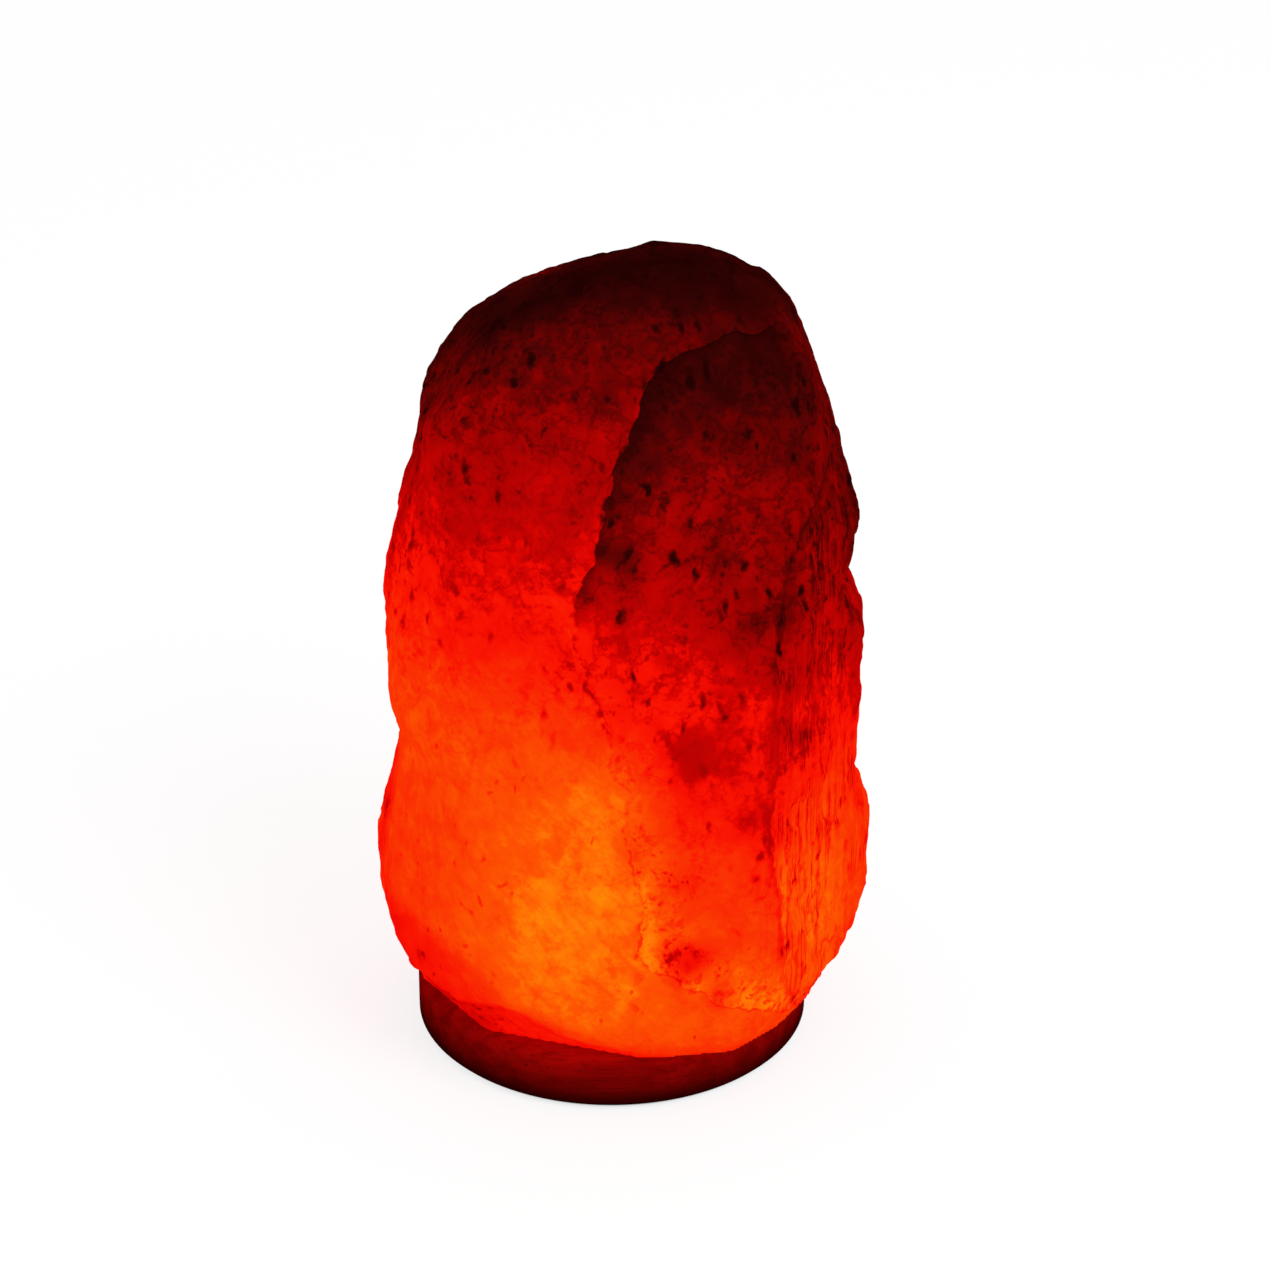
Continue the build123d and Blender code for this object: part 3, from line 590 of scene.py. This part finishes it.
felt = Finish("black_felt", Specular_IOR_Level=0.1, Sheen_Weight=0.35, Sheen_Roughness=0.6)
fibres = felt.clouds(0.7 * mm, 6.0, 0.75)
felt_tufts = felt.clouds(4 * mm, 3.0, 0.6)
black_wool, grey_wool = (0.006, 0.006, 0.006, 1), (0.034, 0.032, 0.030, 1)
felt.set("Base Color", felt.mix(fibres.between(0.3, 0.75), black_wool, grey_wool))
felt.set("Roughness", 0.88 + felt_tufts * 0.12)
felt.relief(fibres + felt_tufts * 0.4, 0.35 * mm)
dress(felt, "felt_ring")

# ---------------------------------------------------------------- zinc-plated steel pieces and plugs
# Three bright cheese-head screws go up through the base, each into a pale nylon plug set in the salt. The
# holder's plate, rivets, hollow nipple, nut and the small screws have the same dull bright plating.

zinc = Finish("zinc_plated_steel", Metallic=1.0)
spangle = zinc.cells(1.6 * mm)
zinc_haze = zinc.clouds(5 * mm, 5.0, 0.6)
zinc.set("Base Color", zinc.mix(zinc_haze.between(0.3, 0.7), (0.42, 0.43, 0.44, 1), (0.62, 0.62, 0.60, 1)))
zinc.set("Roughness", 0.26 + zinc_haze * 0.18 + spangle * 0.06)
zinc.relief(zinc.clouds(0.5 * mm, 3.0) + spangle * 0.3, 0.03 * mm)
dress(zinc, "base_screws", "flange_plate", "clip_rivets", "threaded_nipple", "nipple_nut",
      "cap_grub_screw", "terminal_screws")

nylon = Finish("natural_nylon", Subsurface_Weight=0.2, IOR=1.53)
nylon_flow = nylon.clouds(3 * mm, 4.0, 0.6, nylon.stretched(1, 1, 0.3))
nylon.set("Base Color", nylon.mix(nylon_flow, (0.60, 0.57, 0.48, 1), (0.74, 0.71, 0.62, 1)))
nylon.set("Roughness", 0.42 + nylon_flow * 0.15)
nylon.relief(nylon.clouds(0.8 * mm, 3.0), 0.04 * mm)
dress(nylon, "salt_plugs")

# ---------------------------------------------------------------- holder clips and lock washer
# Three strips of blued spring steel, riveted to the zinc-plated plate, that grip inside the base's bore.
# Their bellies are rubbed bright where they slide in the wood. The nut's toothed washer is the same steel.

spring = Finish("blued_spring_steel", Metallic=1.0)
mill_lines = spring.clouds(1.0, 4.0, 0.6, spring.stretched(300, 300, 2600))
blueing = spring.clouds(6 * mm, 4.0, 0.6)
clip_height = spring.height()
rubbed_bright = clip_height.between(12 * mm, 16 * mm) * (1 - clip_height.between(17 * mm, 22 * mm))
spring_colour = spring.mix(blueing, (0.07, 0.075, 0.09, 1), (0.16, 0.15, 0.15, 1))
spring.set("Base Color", spring.mix(rubbed_bright * mill_lines, spring_colour, (0.55, 0.54, 0.52, 1)))
spring.set("Roughness", 0.30 + mill_lines * 0.22)
spring.relief(mill_lines, 0.02 * mm)
dress(spring, "spring_clip_1", "spring_clip_2", "spring_clip_3", "lock_washer")

# ---------------------------------------------------------------- terminals and centre contact
# Yellow brass: the two wire terminals and the bent centre spring under the bulb. Brass that fingers don't
# reach has gone a little brown.

brass = Finish("yellow_brass", Metallic=1.0)
tarnish = brass.clouds(4 * mm, 5.0, 0.65)
drawn = brass.clouds(1.0, 3.0, 0.6, brass.stretched(1200, 1200, 200))
brass.set("Base Color", brass.mix(tarnish.between(0.4, 0.75), (0.62, 0.42, 0.14, 1), (0.34, 0.20, 0.07, 1)))
brass.set("Roughness", 0.22 + tarnish * 0.22 + drawn * 0.08)
brass.relief(drawn + tarnish * 0.4, 0.025 * mm)
dress(brass, "terminal_block_live", "terminal_block_neutral", "centre_contact")

# ---------------------------------------------------------------- holder cap and skirt
# Black moulded plastic in two pieces that push together round the contact block. The moulding has a fine
# sparked texture, a little shinier where hands turn it.

moulding = Finish("black_moulded_plastic", IOR=1.5, Specular_IOR_Level=0.45)
sparked = moulding.clouds(0.35 * mm, 3.0, 0.6)
handled = moulding.clouds(9 * mm, 4.0, 0.6)
moulding.set("Base Color", moulding.mix(handled, (0.011, 0.011, 0.012, 1), (0.024, 0.023, 0.023, 1)))
moulding.set("Roughness", 0.50 - handled.between(0.45, 0.75) * 0.16 + sparked * 0.08)
moulding.relief(sparked, 0.05 * mm)
dress(moulding, "holder_cap", "holder_skirt")

# ---------------------------------------------------------------- contact block
# A white steatite block that carries the terminals below and the screw shell on top. Glazed thinly, with
# tiny dark specks from the firing.

ceramic = Finish("white_steatite", IOR=1.6)
kiln_speck = 1 - ceramic.cells(2.2 * mm).between(0.05, 0.13)
ceramic_tone = ceramic.clouds(6 * mm, 4.0, 0.55)
ceramic_colour = ceramic.mix(ceramic_tone, (0.70, 0.68, 0.62, 1), (0.80, 0.79, 0.75, 1))
ceramic.set("Base Color", ceramic.mix(kiln_speck * ceramic_tone, ceramic_colour, (0.30, 0.24, 0.17, 1)))
ceramic.set("Roughness", 0.28 + ceramic_tone * 0.25)
ceramic.relief(ceramic.clouds(1.2 * mm, 4.0), 0.05 * mm)
dress(ceramic, "contact_block")

# ---------------------------------------------------------------- screw shell and bulb cap
# Thin rolled metal with a round thread: a brass shell in the holder, and a nickel-plated cap on the bulb.
# One helix runs through both, rolled inwards, so the cap's wall lies in the shell's with a little play.

thread_pitch = 2.8 * mm
thread_depth = 0.75 * mm
thread_fade = 1.6 * mm                      # the thread dies out over this height at each end
thread_columns = 72
row_height = 0.2 * mm
shell_low, shell_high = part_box("screw_shell")
cap_low, cap_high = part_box("bulb_cap")
thread_foot = cap_low.z + 1.6 * mm
thread_top = cap_high.z - 5.2 * mm          # the glass neck stands in the cap above this


def rolled(name, outline):
    """A closed outline of (radius, height) turned round, with the helix rolled into it."""
    rows = []
    for (radius, level), (next_radius, next_level) in zip(outline, outline[1:] + outline[:1]):
        steps = max(1, round(abs(next_level - level) / row_height))
        rows += [(radius + (next_radius - radius) * row / steps, level + (next_level - level) * row / steps)
                 for row in range(steps)]
    points, faces = [], []
    for column in range(thread_columns):
        turn = 2 * np.pi * column / thread_columns
        for row, (radius, level) in enumerate(rows):
            rolled_in = (1 + np.cos(turn - 2 * np.pi * level / thread_pitch)) / 2 * thread_depth
            rolled_in *= ease(level, thread_foot, thread_foot + thread_fade)
            rolled_in *= 1 - ease(level, thread_top - thread_fade, thread_top)
            reach = radius - rolled_in
            points.append((reach * np.cos(turn), reach * np.sin(turn), level))
            here, above = column * len(rows), (column + 1) % thread_columns * len(rows)
            after = (row + 1) % len(rows)
            faces.append((here + row, above + row, above + after, here + after))
    mesh = bpy.data.meshes.new(name)
    mesh.from_pydata(points, [], faces)
    mesh.polygons.foreach_set("use_smooth", np.ones(len(mesh.polygons), dtype=bool))
    mesh.set_sharp_from_angle(angle=radians(50))
    piece = bpy.data.objects.new(name, mesh)
    scene.collection.objects.link(piece)
    return piece


shell_outer = (shell_high.x - shell_low.x) / 2 - hair
shell_inner = shell_outer - 0.4 * mm
shell_hole = shell_outer - 2.25 * mm        # the foot turns in on the contact block as far as this
shell_foot_top = shell_low.z + 0.5 * mm
rolled_shell = rolled("rolled_shell", [
    (shell_hole, shell_low.z), (shell_outer, shell_low.z), (shell_outer, shell_high.z),
    (shell_inner, shell_high.z), (shell_inner, shell_foot_top), (shell_hole, shell_foot_top)])
rolled_shell.data.materials.append(brass.material)
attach(rolled_shell, "lampholder")
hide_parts("screw_shell")

nickel = Finish("nickel_plated_cap", Metallic=1.0)
nickel_haze = nickel.clouds(5 * mm, 5.0, 0.6)
nickel.set("Base Color", nickel.mix(nickel_haze, (0.50, 0.48, 0.45, 1), (0.66, 0.64, 0.61, 1)))
nickel.set("Roughness", 0.18 + nickel_haze * 0.2)
nickel.relief(nickel.clouds(0.8 * mm, 3.0), 0.02 * mm)
cap_outer = (cap_high.x - cap_low.x) / 2 - hair
cap_inner = cap_outer - 0.3 * mm
cap_hole = 4.3 * mm                         # the black glass shows in it
outer_shoulder, inner_shoulder = cap_low.z + 1.4 * mm, cap_low.z + 1.45 * mm
rolled_cap = rolled("rolled_cap", [
    (cap_hole, cap_low.z), (cap_outer, outer_shoulder), (cap_outer, cap_high.z),
    (cap_inner, cap_high.z), (cap_inner, inner_shoulder), (cap_hole, cap_low.z + 0.4 * mm)])
rolled_cap.data.materials.append(nickel.material)
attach(rolled_cap, "bulb")
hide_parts("bulb_cap")

# ---------------------------------------------------------------- cap insulator and solder contact
# Black glass, poured in hot, fills the cap's lower end. A dull bead of solder on it, where the lead wire
# comes through, is the bulb's centre contact.

black_glass = Finish("black_cap_glass", IOR=1.55, Coat_Weight=0.4, Coat_Roughness=0.08)
glass_swirl = black_glass.clouds(2.5 * mm, 4.0, 0.6)
near_black, violet_black = (0.006, 0.005, 0.009, 1), (0.030, 0.024, 0.038, 1)
black_glass.set("Base Color", black_glass.mix(glass_swirl, near_black, violet_black))
black_glass.set("Roughness", 0.12 + glass_swirl * 0.18)
black_glass.relief(glass_swirl, 0.05 * mm)
dress(black_glass, "cap_insulator")

solder = Finish("dull_solder", Metallic=1.0)
solder_skin = solder.clouds(1.4 * mm, 5.0, 0.65)
solder.set("Base Color", solder.mix(solder_skin, (0.30, 0.30, 0.31, 1), (0.50, 0.50, 0.50, 1)))
solder.set("Roughness", 0.38 + solder_skin * 0.25)
solder.relief(solder_skin, 0.08 * mm)
dress(solder, "cap_contact")

# ---------------------------------------------------------------- bulb glass and stem
# Clear soda glass, blown thin. The stem inside is the same glass, pinched flat round the leads, with a few
# seeds in it.

clear_glass = Finish("clear_soda_glass", IOR=1.50, Transmission_Weight=1.0)
glass_film = clear_glass.clouds(12 * mm, 4.0, 0.6)
clear_glass.set("Base Color", clear_glass.mix(glass_film, (0.97, 0.98, 0.97, 1), (0.90, 0.93, 0.91, 1)))
clear_glass.set("Roughness", 0.01 + glass_film.between(0.5, 0.9) * 0.05)
clear_glass.relief(clear_glass.clouds(9 * mm, 2.0), 0.05 * mm)
dress(clear_glass, "bulb_glass", "glass_stem")

# ---------------------------------------------------------------- leads, filament and its support
# Two nickel lead wires rise from the glass pinch. A coiled tungsten filament is clamped between their tips,
# glowing, and a wire of the same metal as the leads holds up its middle.

lead = Finish("nickel_lead_wire", Metallic=1.0)
lead_draw = lead.clouds(1.0, 3.0, 0.6, lead.stretched(2500, 2500, 400))
lead.set("Base Color", lead.mix(lead_draw, (0.36, 0.34, 0.32, 1), (0.52, 0.50, 0.48, 1)))
lead.set("Roughness", 0.28 + lead_draw * 0.2)
lead.relief(lead_draw, 0.01 * mm)
dress(lead, "lead_wires", "filament_support")

tungsten = Finish("glowing_tungsten", Emission_Strength=3.0)
coil_bands = {"Vector": tungsten.place, "Scale": 900.0}
coil_turns = tungsten.node("ShaderNodeTexWave", {"bands_direction": "X"}, coil_bands)
tungsten.set("Base Color", tungsten.mix(coil_turns, (0.10, 0.08, 0.07, 1), (0.30, 0.26, 0.22, 1)))
tungsten.set("Emission Color", tungsten.mix(coil_turns, paint(255, 120, 30), paint(255, 205, 120)))
tungsten.set("Roughness", 0.45 + coil_turns * 0.2)
tungsten.relief(coil_turns, 0.08 * mm)
dress(tungsten, "filament")
